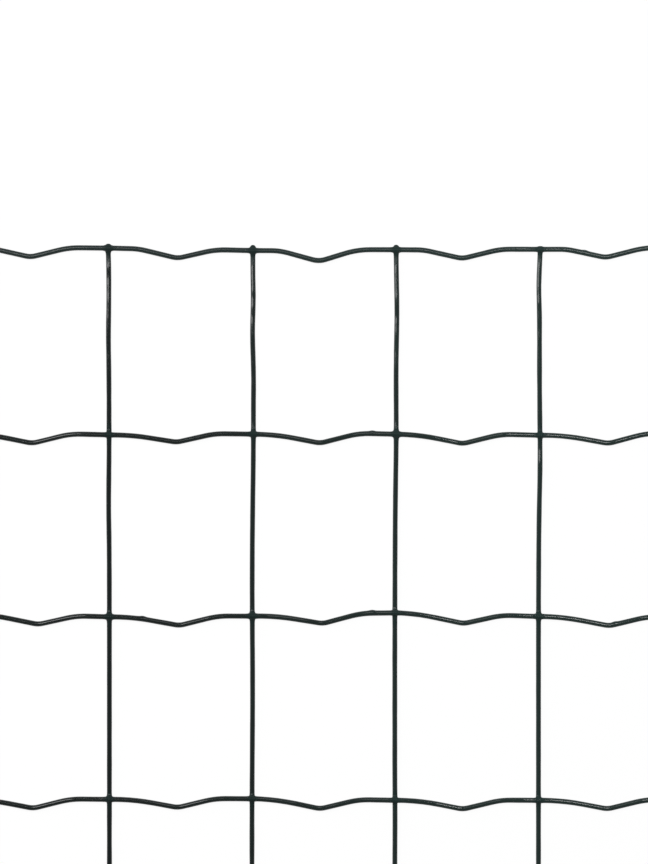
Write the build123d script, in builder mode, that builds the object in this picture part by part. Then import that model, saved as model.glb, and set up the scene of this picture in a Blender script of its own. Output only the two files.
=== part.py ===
"""Flat sheet of welded and coated wire fence mesh, lying with its uprights underneath.

X runs along the fence, Y runs up the fence and Z points from the back of the sheet to its front.
The uprights are straight. The rails are welded across them, and each dips once between two uprights.
"""

import os
from math import cos, pi

from build123d import *

# Wire, over its coating. The number of sides is even, so that its top and bottom are both level
WIRE_DIAMETER = 2.5
WIRE_SIDES = 6

# Spacing of the welds, from middle to middle
UPRIGHT_PITCH = 78.0
RAIL_PITCH = 100.0
UPRIGHT_COUNT = 26
RAIL_COUNT = 11

# Cut ends: a rail's beyond the middle of the last upright, an upright's beyond the edge of the last rail
RAIL_OVERHANG = 25.0
TIP_STICKOUT = 1.5

# The crimp in each cell. It sits a little to the left of the cell's middle, and rises more steeply than it falls
CRIMP_DEPTH = 4.6
CRIMP_SHIFT = 2.4
FALL_LENGTH = 24.0
RISE_LENGTH = 21.0

# The two layers meet side to side, one wire's thickness apart
wire_thickness = WIRE_DIAMETER * cos(pi / WIRE_SIDES)
upright_axis_z = wire_thickness / 2
rail_axis_z = upright_axis_z + wire_thickness
side_turn = 180 / WIRE_SIDES  # turns the section until one side faces along its own X axis

mesh_length = UPRIGHT_PITCH * (UPRIGHT_COUNT - 1)
mesh_height = RAIL_PITCH * (RAIL_COUNT - 1)
rail_end_x = mesh_length / 2 + RAIL_OVERHANG
tip_reach = WIRE_DIAMETER / 2 + TIP_STICKOUT

# A rail is first made a whole number of cells long, past both cut ends
spare_cells = 1 + int(RAIL_OVERHANG // UPRIGHT_PITCH)
first_cell = -spare_cells
last_cell = UPRIGHT_COUNT - 2 + spare_cells


def dip_corners(cell):
    """The three corners of a rail's middle line in one cell, counted from the first pair of uprights."""
    dip_x = UPRIGHT_PITCH * (cell + 0.5) - mesh_length / 2 - CRIMP_SHIFT
    return [(dip_x - FALL_LENGTH, 0), (dip_x, -CRIMP_DEPTH), (dip_x + RISE_LENGTH, 0)]


# One rail, with its level stretches on the X axis
with BuildPart() as rail:
    with BuildLine() as rail_line:
        cells = range(first_cell, last_cell + 1)
        Polyline(*[corner for cell in cells for corner in dip_corners(cell)])
    with BuildSketch(Plane(rail_line.line @ 0, x_dir=(0, 0, 1), z_dir=rail_line.line % 0)):
        RegularPolygon(WIRE_DIAMETER / 2, WIRE_SIDES, rotation=side_turn)
    sweep(transition=Transition.RIGHT)
    split(bisect_by=Plane.YZ.offset(rail_end_x), keep=Keep.BOTTOM)
    split(bisect_by=Plane.YZ.offset(-rail_end_x), keep=Keep.TOP)

# The sheet's middle lies halfway between its highest tips and its lowest dips or tips
bottom_reach = max(tip_reach, -rail.part.bounding_box().min.Y)
mesh_middle_y = (bottom_reach - tip_reach) / 2
upright_foot_y = mesh_middle_y - mesh_height / 2 - tip_reach
upright_length = mesh_height + 2 * tip_reach

# The uprights, with the rails welded across them
with BuildPart() as mesh_sheet:
    with BuildSketch(Plane.XZ.offset(-upright_foot_y)):
        with Locations((0, upright_axis_z)):
            with GridLocations(UPRIGHT_PITCH, 0, UPRIGHT_COUNT, 1):
                RegularPolygon(WIRE_DIAMETER / 2, WIRE_SIDES, rotation=90 + side_turn)
    extrude(amount=-upright_length)
    with Locations((0, mesh_middle_y, rail_axis_z)):
        with GridLocations(0, RAIL_PITCH, 1, RAIL_COUNT):
            add(rail.part)

mesh_sheet.part.label = "mesh_sheet"
os.makedirs("parts", exist_ok=True)
export_step(mesh_sheet.part, "parts/mesh_sheet.step")
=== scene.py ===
import math

import bpy
import numpy as np
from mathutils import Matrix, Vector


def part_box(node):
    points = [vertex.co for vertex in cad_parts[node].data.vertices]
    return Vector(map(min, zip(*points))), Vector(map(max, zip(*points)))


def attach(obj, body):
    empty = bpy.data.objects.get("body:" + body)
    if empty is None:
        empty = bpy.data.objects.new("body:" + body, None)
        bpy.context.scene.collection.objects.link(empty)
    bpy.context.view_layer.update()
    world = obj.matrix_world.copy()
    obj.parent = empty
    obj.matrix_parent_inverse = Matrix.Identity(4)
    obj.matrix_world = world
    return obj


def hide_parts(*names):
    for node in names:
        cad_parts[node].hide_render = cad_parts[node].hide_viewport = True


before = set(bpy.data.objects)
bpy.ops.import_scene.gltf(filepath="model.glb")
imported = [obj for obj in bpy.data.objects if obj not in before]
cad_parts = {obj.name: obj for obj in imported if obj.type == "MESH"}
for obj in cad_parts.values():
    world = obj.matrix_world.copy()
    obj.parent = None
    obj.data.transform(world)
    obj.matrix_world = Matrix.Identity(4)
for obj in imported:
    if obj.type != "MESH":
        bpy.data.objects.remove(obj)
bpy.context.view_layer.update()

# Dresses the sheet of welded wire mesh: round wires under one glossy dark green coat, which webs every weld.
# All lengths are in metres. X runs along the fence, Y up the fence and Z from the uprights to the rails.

MM = 0.001
sheet_low, sheet_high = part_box("mesh_sheet")

# The sheet's grid, as in the CAD part
UPRIGHT_COUNT = 26
RAIL_COUNT = 11
UPRIGHT_PITCH = 78 * MM
RAIL_PITCH = 100 * MM
TOP_RAIL = RAIL_COUNT - 1
EDGE_RAILS = (0, TOP_RAIL)

# The wire, over its coat: a little more than in the CAD part, because bright edges make it look thinner
UPRIGHT_RADIUS = 1.38 * MM
RAIL_RADIUS = 1.44 * MM
PRESS = 0.88  # the sheet is laid out with round wires on a floor at 0, then pressed to its height
ROUND_HEIGHT = (sheet_high.z - sheet_low.z) / PRESS
COAT_ROOM = 0.06 * MM  # kept free above and below for the coat's unevenness
UPRIGHT_Z = UPRIGHT_RADIUS + COAT_ROOM
RAIL_Z = ROUND_HEIGHT - RAIL_RADIUS - COAT_ROOM
MIDDLE_Z = ROUND_HEIGHT / 2

# Cut ends: the uprights' tips beyond the last rails' middle lines, and the rails' ends
TIP_REACH = 2.75 * MM
TIP_ROUNDING = 1.15 * MM
CUT_ROUNDING = 0.5 * MM
EDGE_ROOM = 0.02 * MM  # kept free inside the sheet's outline

# The crimp of a rail in each cell: falls, turns and rises, with the radius of each bend
CRIMP_DEPTH = 4.9 * MM  # from corner to corner, before the bends are rounded
CRIMP_SHIFT = 2.3 * MM
RAIL_LEAN = 0.008  # how steeply the level stretches fall to the right, which each rise makes up for
FALL_LENGTH = 24 * MM
RISE_LENGTH = 20.8 * MM
FALL_RADIUS = 120 * MM
DIP_RADIUS = 12 * MM
RISE_RADIUS = 45 * MM

# What the photograph shows of this very sheet, near the middle of its top edge: three rails, four uprights
VIEW_CELL = (UPRIGHT_COUNT - 2) // 2  # a cell has the number of the upright on its left
SEEN_RAILS = (TOP_RAIL, TOP_RAIL - 1, TOP_RAIL - 2)
SEEN_WELDS = slice(VIEW_CELL - 2, VIEW_CELL + 4)  # with the one beyond each side of the photograph
SEEN_CELLS = slice(VIEW_CELL - 1, VIEW_CELL + 4)  # where a cell before the first upright counts too
RAIL_LIFT = {TOP_RAIL: -0.55 * MM, TOP_RAIL - 1: -1.2 * MM, TOP_RAIL - 2: 0.4 * MM}
WELD_LIFTS = {  # how far each rail is lifted at its welds, from left to right, in millimetres
    TOP_RAIL: (0.8, 0.8, -0.57, -0.1, 0.1, 1.0),
    TOP_RAIL - 1: (0.4, -0.2, 0.2, 0.2, -0.4, 0.5),
    TOP_RAIL - 2: (0.8, -0.8, -0.4, 1.4, -0.6, -1.0),
}
DIP_SHARE = {(TOP_RAIL, VIEW_CELL): 1.25, (TOP_RAIL - 1, VIEW_CELL - 1): 0.85}  # of the usual depth
ROW_SHIFT = {TOP_RAIL: -0.6 * MM, TOP_RAIL - 1: 0, TOP_RAIL - 2: 1.4 * MM}  # of all its dips, to the right
DIP_SHIFT = {  # of single dips, besides
    (TOP_RAIL, VIEW_CELL - 2): -1.0 * MM,
    (TOP_RAIL, VIEW_CELL - 1): 1.0 * MM,
    (TOP_RAIL - 1, VIEW_CELL - 2): -0.6 * MM,
    (TOP_RAIL - 1, VIEW_CELL + 1): -0.4 * MM,
    (TOP_RAIL - 1, VIEW_CELL + 2): 0.9 * MM,
    (TOP_RAIL - 2, VIEW_CELL - 2): 1.2 * MM,
    (TOP_RAIL - 2, VIEW_CELL + 1): -1.3 * MM,
}
ROW_FALL = {TOP_RAIL: 21.4 * MM, TOP_RAIL - 1: FALL_LENGTH, TOP_RAIL - 2: 26 * MM}
ROW_LEAN = {TOP_RAIL - 1: 0.02}
ROW_FALL_RADIUS = {TOP_RAIL: 35 * MM}
COAT_LUMPS = [  # each lump's rail and its X
    (TOP_RAIL, 142 * MM),
    (TOP_RAIL - 1, 26.1 * MM),
    (TOP_RAIL - 2, -98.7 * MM),
    (TOP_RAIL - 2, 26 * MM),
    (TOP_RAIL - 2, 157.8 * MM),
]
TIP_SHARE = {VIEW_CELL - 1: 1, VIEW_CELL: 1.2, VIEW_CELL + 1: 1, VIEW_CELL + 2: 0.25}  # of the usual length
UPRIGHT_SHIFT = {  # at the top edge, and DRIFT_LENGTH below it
    VIEW_CELL - 1: (-0.4 * MM, -0.1 * MM),
    VIEW_CELL: (0.05 * MM, -0.45 * MM),
    VIEW_CELL + 1: (0.05 * MM, -0.65 * MM),
    VIEW_CELL + 2: (0.25 * MM, -0.4 * MM),
}
DRIFT_LENGTH = 235 * MM
BOWS = {  # how far below the top rail each bow is, how far it reaches to the right, and its length
    VIEW_CELL - 1: [(0, -0.3 * MM, 9 * MM), (48 * MM, -0.25 * MM, 15 * MM), (138 * MM, -0.3 * MM, 19 * MM)],
    VIEW_CELL: [
        (26 * MM, 0.22 * MM, 9 * MM),
        (46 * MM, -0.22 * MM, 9 * MM),
        (70 * MM, 0.2 * MM, 12 * MM),
        (103 * MM, 0.5 * MM, 43 * MM),
        (240 * MM, 0.35 * MM, 42 * MM),
    ],
    VIEW_CELL + 1: [(35 * MM, 0.5 * MM, 22 * MM), (101 * MM, 0.35 * MM, 30 * MM)],
    VIEW_CELL + 2: [(0, 0.25 * MM, 8 * MM), (21 * MM, -0.4 * MM, 11 * MM), (112 * MM, 0.5 * MM, 32 * MM)],
}
RAISED = {  # a bow off the floor: how far below the top rail it is, its height and its length
    VIEW_CELL + 2: (122 * MM, 1.0 * MM, 11 * MM),
}

# What the photograph doesn't show differs by chance: the spread of each size, or its least and greatest
rng = np.random.default_rng(41)
WEB_RANGE = (0.1, 0.75)  # from the light web to the heavy one
TIP_RANGE = (0.75, 1.0)  # of the usual length
LIFT_SPREAD = 0.22 * MM
EDGE_LIFTS = (-0.4 * MM, 0.5 * MM)  # limits for the top and the bottom rail
DEPTH_SPREAD = 0.04
GREATEST_LOW_DEPTH = 0.97  # for the bottom rail, whose dips stay inside the sheet's outline
SHIFT_SPREAD = 0.4 * MM
FALL_SPREAD = 0.9 * MM
RISE_SPREAD = 0.7 * MM
LUMP_SPREAD = 3 * MM
UPRIGHT_SPREAD = 0.3 * MM
BOWS_EACH = 12
BOW_SPREAD = 0.16 * MM
BOW_LENGTHS = (10 * MM, 26 * MM)

# The coat: its webs at the welds, its waves and its lumps
LIGHT_WEB = 1.5 * MM
HEAVY_WEB = 3.2 * MM
LEAST_BLEND = 0.01 * MM
WAVES_EACH = 3
LONG_WAVE = 23 * MM
LONG_WAVE_HEIGHT = 0.013 * MM
SHORT_WAVE = 9 * MM
SHORT_WAVE_HEIGHT = 0.009 * MM
LUMP_CHANCE = 0.12
LUMP_HEIGHT = 0.4 * MM
LUMP_LENGTH = 1.6 * MM
LUMP_REACH = 4 * LUMP_LENGTH  # nothing of a lump is left beyond it
LUMP_HALF_WIDTH = 3 * MM

# How finely the wires are divided
SIDES = 16
QUARTER = SIDES // 4
CORE_STEP = 0.42 * MM
CORE_ROWS = 3  # the weld's window reaches this many rows and sides from its middle
OUTER_ROWS = [1.75 * MM, 2.3 * MM, 2.9 * MM, 3.7 * MM]
TIP_TURNS = [0, 22, 42, 60, 76, 90]  # degrees round the tip's dome at which it has a row
CUT_TURNS = [0, 30, 60, 90]  # and round a cut end's edge
WEB_LOOPS = 2
UPRIGHT_STEPS = 18
RAIL_STEP = 5 * MM
CLOSEST_STOPS = 0.4 * MM
END_GAP = 0.3 * MM  # between a rail's last stop and the weld or end after it
BEND_STOPS = (-1, -0.6, -0.2, 0.2, 0.6, 1)  # in half widths of the bend
LUMP_STOPS = [n * 0.6 * MM for n in range(-4, 5)]
SLOPE_STEP = 0.05 * MM  # a rail's direction is taken over this far before and after a place
SHARP_EDGE = math.radians(60)  # edges that turn by more are shaded sharp

# The sheet is drawn in blocks of whole uprights, each with its stretch of every rail
BLOCK_COUNT = 5
SEAM_BEFORE = 13 * MM  # a block begins this far before its first upright, on a straight stretch of the rails


def upright_x(column):
    """X of an upright's place on the grid."""
    return (column - (UPRIGHT_COUNT - 1) / 2) * UPRIGHT_PITCH


def rail_y(row):
    """Y of a rail, before the lifts at its welds."""
    return sheet_high.y - TIP_REACH - (TOP_RAIL - row) * RAIL_PITCH + RAIL_LIFT.get(row, 0)


# One crossing, with its middle at the origin: the rail along X over the upright along Y

CORE = [CORE_STEP * i for i in range(-CORE_ROWS, CORE_ROWS + 1)]
BELOW = [-s for s in reversed(OUTER_ROWS)]
THROUGH = BELOW + CORE + OUTER_ROWS
MIDDLE_ROW = len(OUTER_ROWS) + CORE_ROWS


def window_places():
    """Places round the window where the wires join, as steps along X and along Y from its middle."""
    n = CORE_ROWS
    sides = [[(i, -n) for i in range(-n, n)], [(n, i) for i in range(-n, n)],
             [(i, n) for i in range(n, -n, -1)], [(-n, i) for i in range(n, -n, -1)]]
    return [place for side in sides for place in side]


WINDOW = window_places()


def smooth_min(a, b, blend):
    """The smaller of two distances, blended where they are nearly alike."""
    mix = np.clip(0.5 + 0.5 * (b - a) / blend, 0, 1)
    return b * (1 - mix) + a * mix - blend * mix * (1 - mix)


def tip_distance(along, across):
    """Distance outside an upright that ends in a rounded tip at TIP_REACH."""
    side = across - (UPRIGHT_RADIUS - TIP_ROUNDING)
    end = along - (TIP_REACH - TIP_ROUNDING)
    outside = np.hypot(np.maximum(side, 0), np.maximum(end, 0))
    return outside + np.minimum(np.maximum(side, end), 0) - TIP_ROUNDING


def coat_distance(points, web, has_tip):
    """Distance outside two coated wires, with a web of coat between them that thins out above and below."""
    x, y, z = points.T
    rail = np.hypot(y, z - RAIL_Z) - RAIL_RADIUS
    across = np.hypot(x, z - UPRIGHT_Z)
    upright = tip_distance(y, across) if has_tip else across - UPRIGHT_RADIUS
    from_middle = np.clip(z / MIDDLE_Z - 1, -1, 1)
    return smooth_min(rail, upright, web * (1 - from_middle ** 2) + LEAST_BLEND)


def seat_on_coat(points, web, has_tip):
    """Moves points to the coat's surface along its own slope."""
    step = 0.002 * MM
    passes = 14
    least_steepness = 0.05
    for _ in range(passes):
        here = coat_distance(points, web, has_tip)
        slope = np.stack([(coat_distance(points + step * axis, web, has_tip)
                           - coat_distance(points - step * axis, web, has_tip)) / (2 * step)
                          for axis in np.eye(3)], axis=1)
        steepness = np.maximum((slope ** 2).sum(axis=1), least_steepness)
        points = points - slope * (here / steepness)[:, None]
    return points


def rings(centres, aheads, radii):
    """Points round a wire at each centre, seen along level directions. They start at its left side."""
    left = np.stack([-aheads[:, 1], aheads[:, 0], np.zeros(len(aheads))], axis=1)
    turns = (np.arange(SIDES) * 2 * math.pi / SIDES)[None, :, None]
    spokes = np.cos(turns) * left[:, None] + np.sin(turns) * np.array([0, 0, 1])
    return centres[:, None] + np.reshape(radii, (-1, 1, 1)) * spokes


def straight_rings(sections, along_x):
    """Rings of a straight wire through the origin's crossing. sections lists places and radii."""
    places, radii = np.array(sections).T
    zero = np.zeros(len(places))
    centres = [places, zero, zero + RAIL_Z] if along_x else [zero, places, zero + UPRIGHT_Z]
    ahead = [1.0, 0.0] if along_x else [0.0, 1.0]
    return rings(np.stack(centres, axis=1), np.tile(ahead, (len(places), 1)), radii)


def crossing(web, has_tip):
    """A weld's rows of rail points, rows of upright points, loops of web points, and its tip's middle."""
    rail = straight_rings([(s, RAIL_RADIUS) for s in THROUGH], True)
    sections = [(s, UPRIGHT_RADIUS) for s in (BELOW + CORE if has_tip else THROUGH)]
    if has_tip:
        for turn in map(math.radians, TIP_TURNS):
            place = TIP_REACH - TIP_ROUNDING * (1 - math.sin(turn))
            sections.append((place, UPRIGHT_RADIUS - TIP_ROUNDING * (1 - math.cos(turn))))
    upright = straight_rings(sections, False)
    upper = np.array([rail[MIDDLE_ROW + a, 3 * QUARTER + b] for a, b in WINDOW])
    lower = np.array([upright[MIDDLE_ROW + b, QUARTER + a] for a, b in WINDOW])
    shares = [(n + 1) / (WEB_LOOPS + 1) for n in range(WEB_LOOPS)]
    loops = np.array([lower * (1 - t) + upper * t for t in shares])
    pole = np.array([0, TIP_REACH, UPRIGHT_Z])
    seated = [seat_on_coat(p.reshape(-1, 3), web, has_tip).reshape(p.shape) for p in (rail, upright, loops)]
    return seated + [pole]


WELDS = {has_tip: (crossing(LIGHT_WEB, has_tip), crossing(HEAVY_WEB, has_tip)) for has_tip in (False, True)}
CROSSINGS = (RAIL_COUNT, UPRIGHT_COUNT)
web_share = rng.uniform(*WEB_RANGE, CROSSINGS)
tip_share = rng.uniform(*TIP_RANGE, CROSSINGS)
for column, share in TIP_SHARE.items():
    tip_share[TOP_RAIL, column] = share

# The wires' middle lines

weld_lift = rng.normal(0, LIFT_SPREAD, CROSSINGS)
for row in EDGE_RAILS:
    weld_lift[row] = np.clip(weld_lift[row], *EDGE_LIFTS)
CELLS = (RAIL_COUNT, UPRIGHT_COUNT + 1)  # a cell before the first upright, and one after each
dip_share = rng.normal(1, DEPTH_SPREAD, CELLS)
dip_share[0] = np.minimum(dip_share[0], GREATEST_LOW_DEPTH)
dip_shift = rng.normal(0, SHIFT_SPREAD, CELLS)
fall_length = rng.normal(FALL_LENGTH, FALL_SPREAD, CELLS)
rise_length = rng.normal(RISE_LENGTH, RISE_SPREAD, CELLS)
for row in SEEN_RAILS:
    weld_lift[row, SEEN_WELDS] = np.array(WELD_LIFTS[row]) * MM
    dip_share[row, SEEN_CELLS] = 1
    dip_shift[row, SEEN_CELLS] = ROW_SHIFT[row]
    fall_length[row, SEEN_CELLS] = ROW_FALL[row]
    rise_length[row, SEEN_CELLS] = RISE_LENGTH
for (row, cell), share in DIP_SHARE.items():
    dip_share[row, cell + 1] = share
for (row, cell), shift in DIP_SHIFT.items():
    dip_shift[row, cell + 1] += shift
lump_chance = rng.uniform(0, 1, CELLS)
lump_place = rng.normal(0, LUMP_SPREAD, CELLS)


def bend(along, half_width):
    """Rises from 0 to a slope of 1 about along = 0, over a rounded bend of that half width."""
    rounded = (along + half_width) ** 2 / (4 * half_width)
    return np.where(along < -half_width, 0, np.where(along > half_width, along, rounded))


def bends(row):
    """Each bend of a rail: its place, its change of slope and the half width that it is rounded over."""
    for cell in range(-1, UPRIGHT_COUNT):
        depth = CRIMP_DEPTH * dip_share[row, cell + 1]
        dip = upright_x(cell) + UPRIGHT_PITCH / 2 - CRIMP_SHIFT + dip_shift[row, cell + 1]
        before, after = fall_length[row, cell + 1], rise_length[row, cell + 1]
        lean = ROW_LEAN.get(row, RAIL_LEAN)
        fall = (depth - lean * (dip - before - upright_x(cell))) / before
        rise = (depth + lean * (upright_x(cell + 1) - dip - after)) / after
        corners = [
            (dip - before, lean - fall, ROW_FALL_RADIUS.get(row, FALL_RADIUS)),
            (dip, fall + rise, DIP_RADIUS),
            (dip + after, -lean - rise, RISE_RADIUS),
        ]
        for place, turn, radius in corners:
            yield place, turn, radius * abs(turn) / 2


rail_bends = {row: list(bends(row)) for row in range(RAIL_COUNT)}


def rail_line(row, x):
    """Y of a rail's middle line at x."""
    lifts = np.interp(x, [upright_x(c) for c in range(UPRIGHT_COUNT)], weld_lift[row])
    level = rail_y(row) + lifts - ROW_LEAN.get(row, RAIL_LEAN) * (x - upright_x(-1))
    return level + sum(turn * bend(x - place, half) for place, turn, half in rail_bends[row])


top_shift, low_shift = rng.normal(0, UPRIGHT_SPREAD, (2, UPRIGHT_COUNT))
for column, shifts in UPRIGHT_SHIFT.items():
    top_shift[column], low_shift[column] = shifts
bow_y = rng.uniform(sheet_low.y, sheet_high.y, (UPRIGHT_COUNT, BOWS_EACH))
bow_size = rng.normal(0, BOW_SPREAD, (UPRIGHT_COUNT, BOWS_EACH))
bow_length = rng.uniform(*BOW_LENGTHS, (UPRIGHT_COUNT, BOWS_EACH))
for column, seen in BOWS.items():
    bow_size[column, bow_y[column] > rail_y(TOP_RAIL - 3)] = 0
    for n, (below, size, length) in enumerate(seen):
        bow_y[column, n], bow_size[column, n], bow_length[column, n] = rail_y(TOP_RAIL) - below, size, length


def upright_line(column, y):
    """X of an upright's middle line at y."""
    below = np.clip((sheet_high.y - y) / DRIFT_LENGTH, 0, 1)
    share = below * below * (3 - 2 * below)
    bows = sum(size * np.exp(-((y - at) / length) ** 2)
               for at, size, length in zip(bow_y[column], bow_size[column], bow_length[column]))
    return upright_x(column) + top_shift[column] * (1 - share) + low_shift[column] * share + bows


def upright_height(column, y):
    """Z of an upright's middle line at y."""
    if column not in RAISED:
        return np.full(len(y), UPRIGHT_Z)
    below, height, length = RAISED[column]
    return UPRIGHT_Z + height * np.exp(-((y - rail_y(TOP_RAIL) + below) / length) ** 2)


def weld_place(row, column):
    """X and Y where a rail's and an upright's middle lines cross."""
    x = upright_line(column, rail_line(row, upright_x(column)))
    return x, rail_line(row, x)


# The coat's unevenness, along its own normals

def waves_of(length, count):
    """That many waves of a length, each with a direction of its own."""
    ahead = rng.normal(0, 1, (count, 3))
    return ahead / np.linalg.norm(ahead, axis=1)[:, None] * 2 * math.pi / length


UNEVEN_WAVES = np.concatenate([waves_of(LONG_WAVE, WAVES_EACH), waves_of(SHORT_WAVE, WAVES_EACH)])
UNEVEN_STARTS = rng.uniform(0, 2 * math.pi, 2 * WAVES_EACH)
UNEVEN_SIZES = [LONG_WAVE_HEIGHT] * WAVES_EACH + [SHORT_WAVE_HEIGHT] * WAVES_EACH
lumps = [(row, x, LUMP_HEIGHT) for row, x in COAT_LUMPS]
for row in range(1, min(SEEN_RAILS)):
    for cell in range(UPRIGHT_COUNT - 1):
        if lump_chance[row, cell + 1] < LUMP_CHANCE:
            shoulder = upright_x(cell) + UPRIGHT_PITCH / 2 - CRIMP_SHIFT + RISE_LENGTH
            height = LUMP_HEIGHT * lump_chance[row, cell + 1] / LUMP_CHANCE
            lumps.append((row, shoulder + lump_place[row, cell + 1], height))


def unevenness(points, normals):
    """How far the coat stands out at each point."""
    out = sum(size * np.sin(points @ wave + start)
              for wave, start, size in zip(UNEVEN_WAVES, UNEVEN_STARTS, UNEVEN_SIZES))
    for row, x, height in lumps:
        near = np.abs(points[:, 0] - x) < LUMP_REACH
        near &= np.abs(points[:, 1] - rail_line(row, x)) < LUMP_HALF_WIDTH
        near &= points[:, 2] > MIDDLE_Z
        spread = np.exp(-((points[near, 0] - x) / LUMP_LENGTH) ** 2)
        out[near] += height * spread * np.clip(normals[near, 1], 0, 1) ** 2
    return out


# Building the blocks

class Wires:
    """The points and faces of one block of the sheet."""

    def __init__(self):
        self.points, self.quads, self.fans, self.caps, self.count = [], [], [], [], 0

    def add(self, points):
        """Adds points, and returns their numbers."""
        points = np.asarray(points, float).reshape(-1, 3)
        self.points.append(points)
        self.count += len(points)
        return np.arange(self.count - len(points), self.count)

    def tube(self, rows, welds, side):
        """Rows of points joined by faces, but for each weld's window, which has a middle row and a side."""
        index = self.add(rows).reshape(len(rows), SIDES)
        kept = np.ones((len(rows) - 1, SIDES), bool)
        for middle in welds:
            kept[middle - CORE_ROWS:middle + CORE_ROWS, side - CORE_ROWS:side + CORE_ROWS] = False
        r, s = np.nonzero(kept)
        t = (s + 1) % SIDES
        self.quads.append(np.stack([index[r, s], index[r, t], index[r + 1, t], index[r + 1, s]], axis=1))
        return index

    def web(self, loops):
        """Faces between loops of points, from the lowest to the highest."""
        for lower, upper in zip(loops, loops[1:]):
            self.quads.append(np.stack([lower, np.roll(lower, -1), np.roll(upper, -1), upper], axis=1))

    def dome(self, loop, pole, at_end):
        """A fan of faces from the first or last row to a point."""
        tip = np.full(SIDES, self.add(pole)[0])
        after = np.roll(loop, -1)
        self.fans.append(np.stack([loop, after, tip] if at_end else [after, loop, tip], axis=1))

    def cap(self, loop, at_end):
        """A flat face across the first or last row."""
        self.caps.append(loop if at_end else loop[::-1])


def stops_between(low, high, marks):
    """Places between low and high that pass through the marks and leave no long gap."""
    stops = [low]
    for stop in sorted(m for m in marks if low + CLOSEST_STOPS < m < high - CLOSEST_STOPS) + [high]:
        if stop - stops[-1] > CLOSEST_STOPS:
            pieces = math.ceil((stop - stops[-1]) / RAIL_STEP)
            stops += list(np.linspace(stops[-1], stop, pieces + 1)[1:])
    return [s for s in stops[1:] if s < high - END_GAP]


def bent(points, row, column):
    """Points of a weld, moved to their place and along both wires' middle lines."""
    x, y = weld_place(row, column)
    out = points + np.array([x, y, 0])
    out[..., 0] += upright_line(column, y + points[..., 1]) - x
    out[..., 1] += rail_line(row, x + points[..., 0]) - y
    return out


def mixed(light, heavy, share):
    """Each array of points of two welds, mixed by a share of the heavy one's."""
    return [a * (1 - share) + b * share for a, b in zip(light, heavy)]


UPSIDE_DOWN = np.array([1, -1, 1])
OTHER_SIDES = [(2 * QUARTER - side) % SIDES for side in range(SIDES)]  # a rail's sides, seen from below
OTHER_WINDOW = [WINDOW.index((a, -b)) for a, b in WINDOW]


def weld_shape(row, column):
    """A weld's rail rows, upright rows, web loops and tip, and its middle row on the upright."""
    rail, upright, loops, pole = mixed(*WELDS[row in EDGE_RAILS], web_share[row, column])
    if row not in EDGE_RAILS:
        return rail, upright, loops, None, MIDDLE_ROW
    y = weld_place(row, column)[1]
    free = 1.0 * MM  # what lies nearer to the rail than this keeps its shape
    room = (y - sheet_low.y if row == 0 else sheet_high.y - y) - EDGE_ROOM
    reach = min(free + (TIP_REACH - free) * tip_share[row, column], room)
    for points in (upright, loops, pole):
        beyond = np.maximum(points[..., 1] - free, 0)
        points[..., 1] -= beyond * (1 - (reach - free) / (TIP_REACH - free))
    if row == TOP_RAIL:
        return rail, upright, loops, pole, MIDDLE_ROW
    return (rail[:, OTHER_SIDES] * UPSIDE_DOWN, upright[::-1] * UPSIDE_DOWN,
            loops[:, OTHER_WINDOW] * UPSIDE_DOWN, pole * UPSIDE_DOWN, len(upright) - 1 - MIDDLE_ROW)


def rail_rings(row, sections):
    """Rings of a rail. sections lists places along X and radii."""
    x, radii = np.array(sections).T
    slope = (rail_line(row, x + SLOPE_STEP) - rail_line(row, x - SLOPE_STEP)) / (2 * SLOPE_STEP)
    aheads = np.stack([np.ones(len(x)), slope], axis=1) / np.hypot(1, slope)[:, None]
    return rings(np.stack([x, rail_line(row, x), np.full(len(x), RAIL_Z)], axis=1), aheads, radii)


def cut_end(end, direction):
    """Places and radii that round off a rail's cut end, from the inside out."""
    sections = []
    for turn in map(math.radians, CUT_TURNS):
        place = end - direction * CUT_ROUNDING * (1 - math.sin(turn))
        sections.append((place, RAIL_RADIUS - CUT_ROUNDING * (1 - math.cos(turn))))
    return sections


def add_rail(wires, row, columns, start, end, is_first, is_last):
    """One rail of a block. Returns its points' numbers by row and side, and the middle row of each weld."""
    marks = [place + half * stop for place, _, half in rail_bends[row] for stop in BEND_STOPS]
    marks += [x + stop for lump_row, x, _ in lumps if lump_row == row for stop in LUMP_STOPS]
    before = cut_end(start, -1)[::-1] if is_first else [(start, RAIL_RADIUS)]
    after = cut_end(end, 1) if is_last else [(end, RAIL_RADIUS)]
    here = before[-1][0]
    rows, welds = [], {}
    for column in columns:
        x = weld_place(row, column)[0]
        before += [(stop, RAIL_RADIUS) for stop in stops_between(here, x + THROUGH[0], marks)]
        rows.append(rail_rings(row, before))
        welds[column] = sum(map(len, rows)) + MIDDLE_ROW
        rows.append(bent(weld_shape(row, column)[0], row, column))
        before, here = [], x + THROUGH[-1]
    rows.append(rail_rings(row, [(s, RAIL_RADIUS) for s in stops_between(here, after[0][0], marks)] + after))
    index = wires.tube(np.concatenate(rows), welds.values(), 3 * QUARTER)
    wires.cap(index[0], False)
    wires.cap(index[-1], True)
    return index, welds


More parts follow.
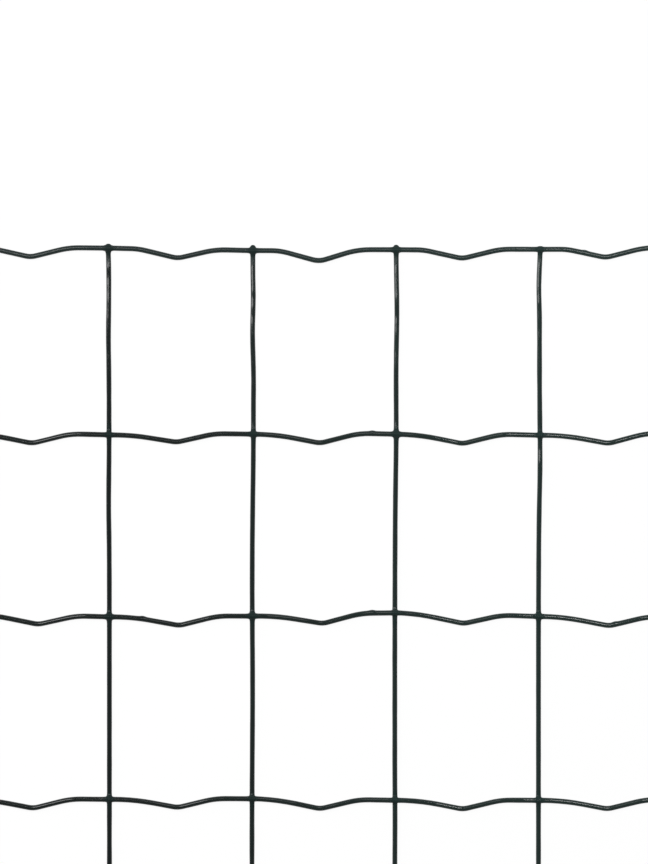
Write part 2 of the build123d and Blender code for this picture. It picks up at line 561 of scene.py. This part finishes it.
def add_upright(wires, column, rails):
    """One upright, with the webs that join it to the rails."""
    rows, welds, webs, poles = [], [], [], {}
    for row in range(RAIL_COUNT):
        y = weld_place(row, column)[1]
        _, shape, loops, pole, middle = weld_shape(row, column)
        if row:
            between = np.linspace(here, y + THROUGH[0], UPRIGHT_STEPS + 1)[1:-1]
            centres = [upright_line(column, between), between, upright_height(column, between)]
            aheads = np.tile([0.0, 1.0], (len(between), 1))
            rows.append(rings(np.stack(centres, axis=1), aheads, [UPRIGHT_RADIUS] * len(between)))
        welds.append(sum(map(len, rows)) + middle)
        rows.append(bent(shape, row, column))
        webs.append(bent(loops, row, column))
        if pole is not None:
            poles[row] = bent(pole, row, column)
        here = y + THROUGH[-1]
    index = wires.tube(np.concatenate(rows), welds, QUARTER)
    wires.dome(index[0], poles[0], False)
    wires.dome(index[-1], poles[TOP_RAIL], True)
    for row, middle in enumerate(welds):
        rail_index, rail_welds = rails[row]
        upper = np.array([rail_index[rail_welds[column] + a, 3 * QUARTER + b] for a, b in WINDOW])
        lower = np.array([index[middle + b, QUARTER + a] for a, b in WINDOW])
        wires.web([lower] + [wires.add(loop) for loop in webs[row]] + [upper])


def make_piece(name, wires):
    """A block's mesh: uneven along its normals, and pressed to the sheet's height and outline."""
    points = np.concatenate(wires.points)
    quads, fans = np.concatenate(wires.quads), np.concatenate(wires.fans)
    used = np.unique(np.concatenate([quads.ravel(), fans.ravel()]))
    renumber = np.full(len(points), -1)
    renumber[used] = np.arange(len(used))
    points, quads, fans = points[used], renumber[quads], renumber[fans]
    caps = [renumber[cap].tolist() for cap in wires.caps]
    normals = np.zeros_like(points)
    for faces in (quads, fans):
        a, b, c, d = (points[faces[:, i]] for i in (0, 1, 2, -1))
        facing = np.cross(c - a, d - b)
        for corner in faces.T:
            np.add.at(normals, corner, facing)
    normals /= np.linalg.norm(normals, axis=1)[:, None]
    points = points + normals * unevenness(points, normals)[:, None]
    points[:, 2] = sheet_low.z + points[:, 2] * PRESS
    points = np.clip(points, np.array(sheet_low), np.array(sheet_high))
    mesh = bpy.data.meshes.new(name)
    mesh.from_pydata(points.tolist(), [], quads.tolist() + fans.tolist() + caps)
    mesh.shade_smooth()
    mesh.set_sharp_from_angle(angle=SHARP_EDGE)
    mesh.update()
    piece = bpy.data.objects.new(name, mesh)
    bpy.context.scene.collection.objects.link(piece)
    return piece


# The coat's material. Every colour is linear: red, green, blue and alpha

REFRACTION = 1.5
# The grey coat is darker and the green one lighter. Besides the change of hue, that is painted shade and
# painted light, in bands along the fence
GREY_COAT_PAINTED_SHADE = (0.0082, 0.0112, 0.0108, 1)
GREEN_COAT_PAINTED_LIGHT = (0.0140, 0.0235, 0.0215, 1)
FRESH_COAT = (0.0120, 0.0260, 0.0245, 1)  # mixed in on the top rail and at the welds
FRESH_SHARE = 0.35
HUE_AND_LIGHT_BANDS = 0.52  # turns the coat greyer and darker, then greener and lighter, every 0.6 m along the fence: a change of hue, with painted shade on the grey side and painted light on the green side
HUE_NOISE = (60, 3)  # scale and detail, like the two below
HUE_NOISE_SHARE = 0.35
HUE_RANGE = (0.2, 0.8)
GLOSS_RANGE = (0.32, 0.24)  # from the grey coat to the green one
WELD_GLOSS = 0.2  # of the wire's
ROUGHNESS_NOISE = (160, 2)
ROUGHNESS_RANGE = (0.05, 0.1)
NOISE_RANGE = (0.3, 0.7)  # where nearly all of a noise lies
TOP_DULLNESS = 0.18
WELD_DULLNESS = 0.1
WELD_REACH = (4.2 * MM, 1.8 * MM)  # where a weld's look begins and is full
WELD_LENGTHENING = 0.6  # the share of a distance along the upright that counts
TOP_REACH = (9 * MM, 6 * MM)  # where the top rail's look begins and is full, below its middle line
BUMP_NOISE = (75, 1)
BUMP_DEPTH = 0.4 * MM
UPRIGHT_BUMP, RAIL_BUMP = 0.1, 0.9
LAYER_CHANGE = (0.4, 0.6)  # shares of the sheet's height, from the uprights below to the rails above


def coat_material():
    mat = bpy.data.materials.new("green_coat")
    mat.use_nodes = True
    nodes, links = mat.node_tree.nodes, mat.node_tree.links
    shader = nodes["Principled BSDF"]
    shader.inputs["IOR"].default_value = REFRACTION
    place = nodes.new("ShaderNodeTexCoord").outputs["Object"]

    def noise(scale, detail):
        """A noise that keeps its place on the sheet."""
        node = nodes.new("ShaderNodeTexNoise")
        node.inputs["Scale"].default_value = scale
        node.inputs["Detail"].default_value = detail
        links.new(place, node.inputs["Vector"])
        return node.outputs["Fac"]

    def ranged(value, before, after):
        """A value spread from one range, low to high, to another."""
        node = nodes.new("ShaderNodeMapRange")
        for name, number in zip(("From Min", "From Max", "To Min", "To Max"), before + after):
            node.inputs[name].default_value = number
        links.new(value, node.inputs["Value"])
        return node.outputs["Result"]

    def combined(operation, *inputs):
        """A Math node on values and numbers."""
        node = nodes.new("ShaderNodeMath")
        node.operation = operation
        for socket, value in zip(node.inputs, inputs):
            if isinstance(value, (int, float)):
                socket.default_value = value
            else:
                links.new(value, socket)
        return node.outputs[0]

    # Painted shade and light: the ramp darkens the coat where it turns grey and lightens it where it turns
    # green
    ramp_node = nodes.new("ShaderNodeValToRGB")
    stops = ramp_node.color_ramp.elements
    for stop, position, colour in zip(stops, HUE_RANGE, (GREY_COAT_PAINTED_SHADE, GREEN_COAT_PAINTED_LIGHT)):
        stop.position, stop.color = position, colour
    # Bands of painted shade and painted light along the fence, which also carry the change of hue
    hue_and_light_waves = nodes.new("ShaderNodeTexWave")
    hue_and_light_waves.inputs["Scale"].default_value = HUE_AND_LIGHT_BANDS
    hue_and_light_waves.inputs["Phase Offset"].default_value = math.pi / 2
    links.new(place, hue_and_light_waves.inputs["Vector"])
    hue_and_light = nodes.new("ShaderNodeMix")
    hue_and_light.inputs["Factor"].default_value = HUE_NOISE_SHARE
    links.new(hue_and_light_waves.outputs["Fac"], hue_and_light.inputs["A"])
    links.new(noise(*HUE_NOISE), hue_and_light.inputs["B"])
    links.new(hue_and_light.outputs["Result"], ramp_node.inputs["Fac"])

    parts = nodes.new("ShaderNodeSeparateXYZ")
    links.new(place, parts.inputs[0])
    x, y, z = parts.outputs
    half_cell = UPRIGHT_PITCH / 2
    from_upright = combined("SUBTRACT", half_cell, combined("PINGPONG", x, half_cell))
    from_rail = combined("PINGPONG", combined("SUBTRACT", y, rail_y(TOP_RAIL)), RAIL_PITCH / 2)
    along = combined("MULTIPLY", from_rail, WELD_LENGTHENING)
    from_weld = combined("SQRT", combined("ADD", combined("POWER", from_upright, 2),
                                          combined("POWER", along, 2)))
    welded = ranged(from_weld, WELD_REACH, (0, 1))
    on_top = ranged(y, tuple(rail_y(TOP_RAIL) - below for below in TOP_REACH), (0, 1))
    green = nodes.new("ShaderNodeMix")
    green.data_type = "RGBA"
    fade, bare, fresh = (green.inputs[i] for i in (0, 6, 7))  # the factor and the two colours
    fresh.default_value = FRESH_COAT
    links.new(combined("MULTIPLY", combined("MAXIMUM", welded, on_top), FRESH_SHARE), fade)
    links.new(ramp_node.outputs["Color"], bare)
    links.new(green.outputs[2], shader.inputs["Base Color"])
    gloss = combined("MULTIPLY", ranged(hue_and_light.outputs["Result"], HUE_RANGE, GLOSS_RANGE),
                     ranged(welded, (0, 1), (1, WELD_GLOSS)))
    links.new(gloss, shader.inputs["Specular IOR Level"])
    dull = combined("ADD", combined("MULTIPLY", on_top, TOP_DULLNESS),
                    combined("MULTIPLY", welded, WELD_DULLNESS))
    even = ranged(noise(*ROUGHNESS_NOISE), NOISE_RANGE, ROUGHNESS_RANGE)
    links.new(combined("ADD", even, dull), shader.inputs["Roughness"])
    layers = tuple(share * sheet_high.z for share in LAYER_CHANGE)
    mostly_rails = ranged(z, layers, (UPRIGHT_BUMP, RAIL_BUMP))
    bump = nodes.new("ShaderNodeBump")
    bump.inputs["Distance"].default_value = BUMP_DEPTH
    links.new(mostly_rails, bump.inputs["Strength"])
    links.new(noise(*BUMP_NOISE), bump.inputs["Height"])
    links.new(bump.outputs["Normal"], shader.inputs["Normal"])
    return mat


coat = coat_material()
columns_of = [list(map(int, c)) for c in np.array_split(np.arange(UPRIGHT_COUNT), BLOCK_COUNT)]
for number, columns in enumerate(columns_of):
    is_first, is_last = number == 0, number == BLOCK_COUNT - 1
    start = sheet_low.x + EDGE_ROOM if is_first else upright_x(columns[0]) - SEAM_BEFORE
    end = sheet_high.x - EDGE_ROOM if is_last else upright_x(columns[-1] + 1) - SEAM_BEFORE
    wires = Wires()
    rails = {row: add_rail(wires, row, columns, start, end, is_first, is_last) for row in range(RAIL_COUNT)}
    for column in columns:
        add_upright(wires, column, rails)
    piece = make_piece(f"mesh_block_{number + 1}", wires)
    piece.data.materials.append(coat)
    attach(piece, "root")
    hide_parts("mesh_sheet")

# The floor: white to the camera, with the sheet's shadow left on it

FLOOR_HALF = 40  # metres from its middle to each edge
FLOOR_COLOUR = (0.85, 0.85, 0.85, 1)
FLOOR_GLOW = 1
GLOW_SHARE = 0.95  # of what the camera and mirrored rays see of the floor


def floor_material():
    mat = bpy.data.materials.new("white_floor")
    mat.use_nodes = True
    nodes, links = mat.node_tree.nodes, mat.node_tree.links
    nodes.clear()
    out = nodes.new("ShaderNodeOutputMaterial")
    matt = nodes.new("ShaderNodeBsdfDiffuse")
    matt.inputs["Color"].default_value = FLOOR_COLOUR
    glow = nodes.new("ShaderNodeEmission")
    glow.inputs["Strength"].default_value = FLOOR_GLOW
    path = nodes.new("ShaderNodeLightPath")
    seen = path.outputs["Is Camera Ray"]
    for ray in ("Is Glossy Ray", "Is Transmission Ray"):
        either = nodes.new("ShaderNodeMath")
        either.operation = "MAXIMUM"
        links.new(seen, either.inputs[0])
        links.new(path.outputs[ray], either.inputs[1])
        seen = either.outputs[0]
    share = nodes.new("ShaderNodeMath")
    share.operation = "MULTIPLY"
    share.inputs[1].default_value = GLOW_SHARE
    links.new(seen, share.inputs[0])
    mix = nodes.new("ShaderNodeMixShader")
    links.new(share.outputs[0], mix.inputs["Fac"])
    links.new(matt.outputs[0], mix.inputs[1])
    links.new(glow.outputs[0], mix.inputs[2])
    links.new(mix.outputs[0], out.inputs["Surface"])
    return mat


corners = [(x * FLOOR_HALF, y * FLOOR_HALF, sheet_low.z) for x, y in ((-1, -1), (1, -1), (1, 1), (-1, 1))]
floor_mesh = bpy.data.meshes.new("floor")
floor_mesh.from_pydata(corners, [], [(0, 1, 2, 3)])
floor_mesh.materials.append(floor_material())
floor = bpy.data.objects.new("floor", floor_mesh)
bpy.context.scene.collection.objects.link(floor)

# The light

def lamp(name, place, tilt, size, radiance):
    """A rectangle of light that faces down, and is then turned about X and Y by tilt, in degrees."""
    data = bpy.data.lights.new(name, "AREA")
    data.shape = "RECTANGLE"
    data.size, data.size_y = size
    data.energy = radiance * math.pi * size[0] * size[1]
    ob = bpy.data.objects.new(name, data)
    ob.location = place
    ob.rotation_euler = (math.radians(tilt[0]), math.radians(tilt[1]), 0)
    bpy.context.scene.collection.objects.link(ob)


# Softboxes beyond the top edge and a wall of light on the left, for the wires to mirror
LAMP_HEIGHT = 1.5
DOWN = (0, 0)
TO_THE_RIGHT = (0, -90)
lamp("left_softbox", (-0.775, 0.87, LAMP_HEIGHT), DOWN, size=(0.95, 0.64), radiance=9)
lamp("right_softbox", (0.475, 0.77, LAMP_HEIGHT), DOWN, size=(0.5, 0.3), radiance=26)
lamp("left_strip", (-0.205, 0.59, LAMP_HEIGHT), DOWN, size=(0.19, 0.08), radiance=8)
lamp("left_wall", (-1.35, 0.87, 0.85), TO_THE_RIGHT, size=(1.2, 0.64), radiance=7.5)
lamp("middle_fill", (0.04, 0.98, LAMP_HEIGHT), DOWN, size=(0.16, 0.64), radiance=3.5)

# The room: white up to 14 degrees above the horizon, and dark grey from 30 degrees up
WHITE_TO, DARK_FROM = 0.25, 0.5  # upward shares of a direction
WHITE = (1, 1, 1, 1)
DARK = (0.1, 0.1, 0.1, 1)
world = bpy.data.worlds.new("room")
bpy.context.scene.world = world
world.use_nodes = True
nodes, links = world.node_tree.nodes, world.node_tree.links
nodes.clear()
world_out = nodes.new("ShaderNodeOutputWorld")
room = nodes.new("ShaderNodeBackground")
toward = nodes.new("ShaderNodeTexCoord")
parts = nodes.new("ShaderNodeSeparateXYZ")
shade = nodes.new("ShaderNodeValToRGB")
for stop, position, colour in zip(shade.color_ramp.elements, (WHITE_TO, DARK_FROM), (WHITE, DARK)):
    stop.position, stop.color = position, colour
links.new(toward.outputs["Generated"], parts.inputs[0])
links.new(parts.outputs["Z"], shade.inputs["Fac"])
links.new(shade.outputs["Color"], room.inputs["Color"])
links.new(room.outputs[0], world_out.inputs["Surface"])

# The camera: a long lens straight above the sheet's top edge

PIXEL = 0.5436 * MM  # of the sheet, seen in one pixel of the photograph
IMAGE_HEIGHT_PX = 864
TOP_RAIL_PX = 249.4
VIEW_MIDDLE_PX = 0.4  # how far right of the image's middle the sheet's middle is
LENS = 120  # in millimetres, like the sensor
SENSOR = 36
NEAREST, FARTHEST = 0.05, 200
cam_data = bpy.data.cameras.new("camera")
cam_data.lens = LENS
cam_data.sensor_width = SENSOR
cam_data.clip_start, cam_data.clip_end = NEAREST, FARTHEST
cam = bpy.data.objects.new("camera", cam_data)
bpy.context.scene.collection.objects.link(cam)
distance = IMAGE_HEIGHT_PX * PIXEL * LENS / SENSOR
view_y = rail_y(TOP_RAIL) - (IMAGE_HEIGHT_PX / 2 - TOP_RAIL_PX) * PIXEL
cam.location = (-VIEW_MIDDLE_PX * PIXEL, view_y, sheet_high.z + distance)
bpy.context.scene.camera = cam
bpy.context.scene.view_settings.view_transform = "Standard"
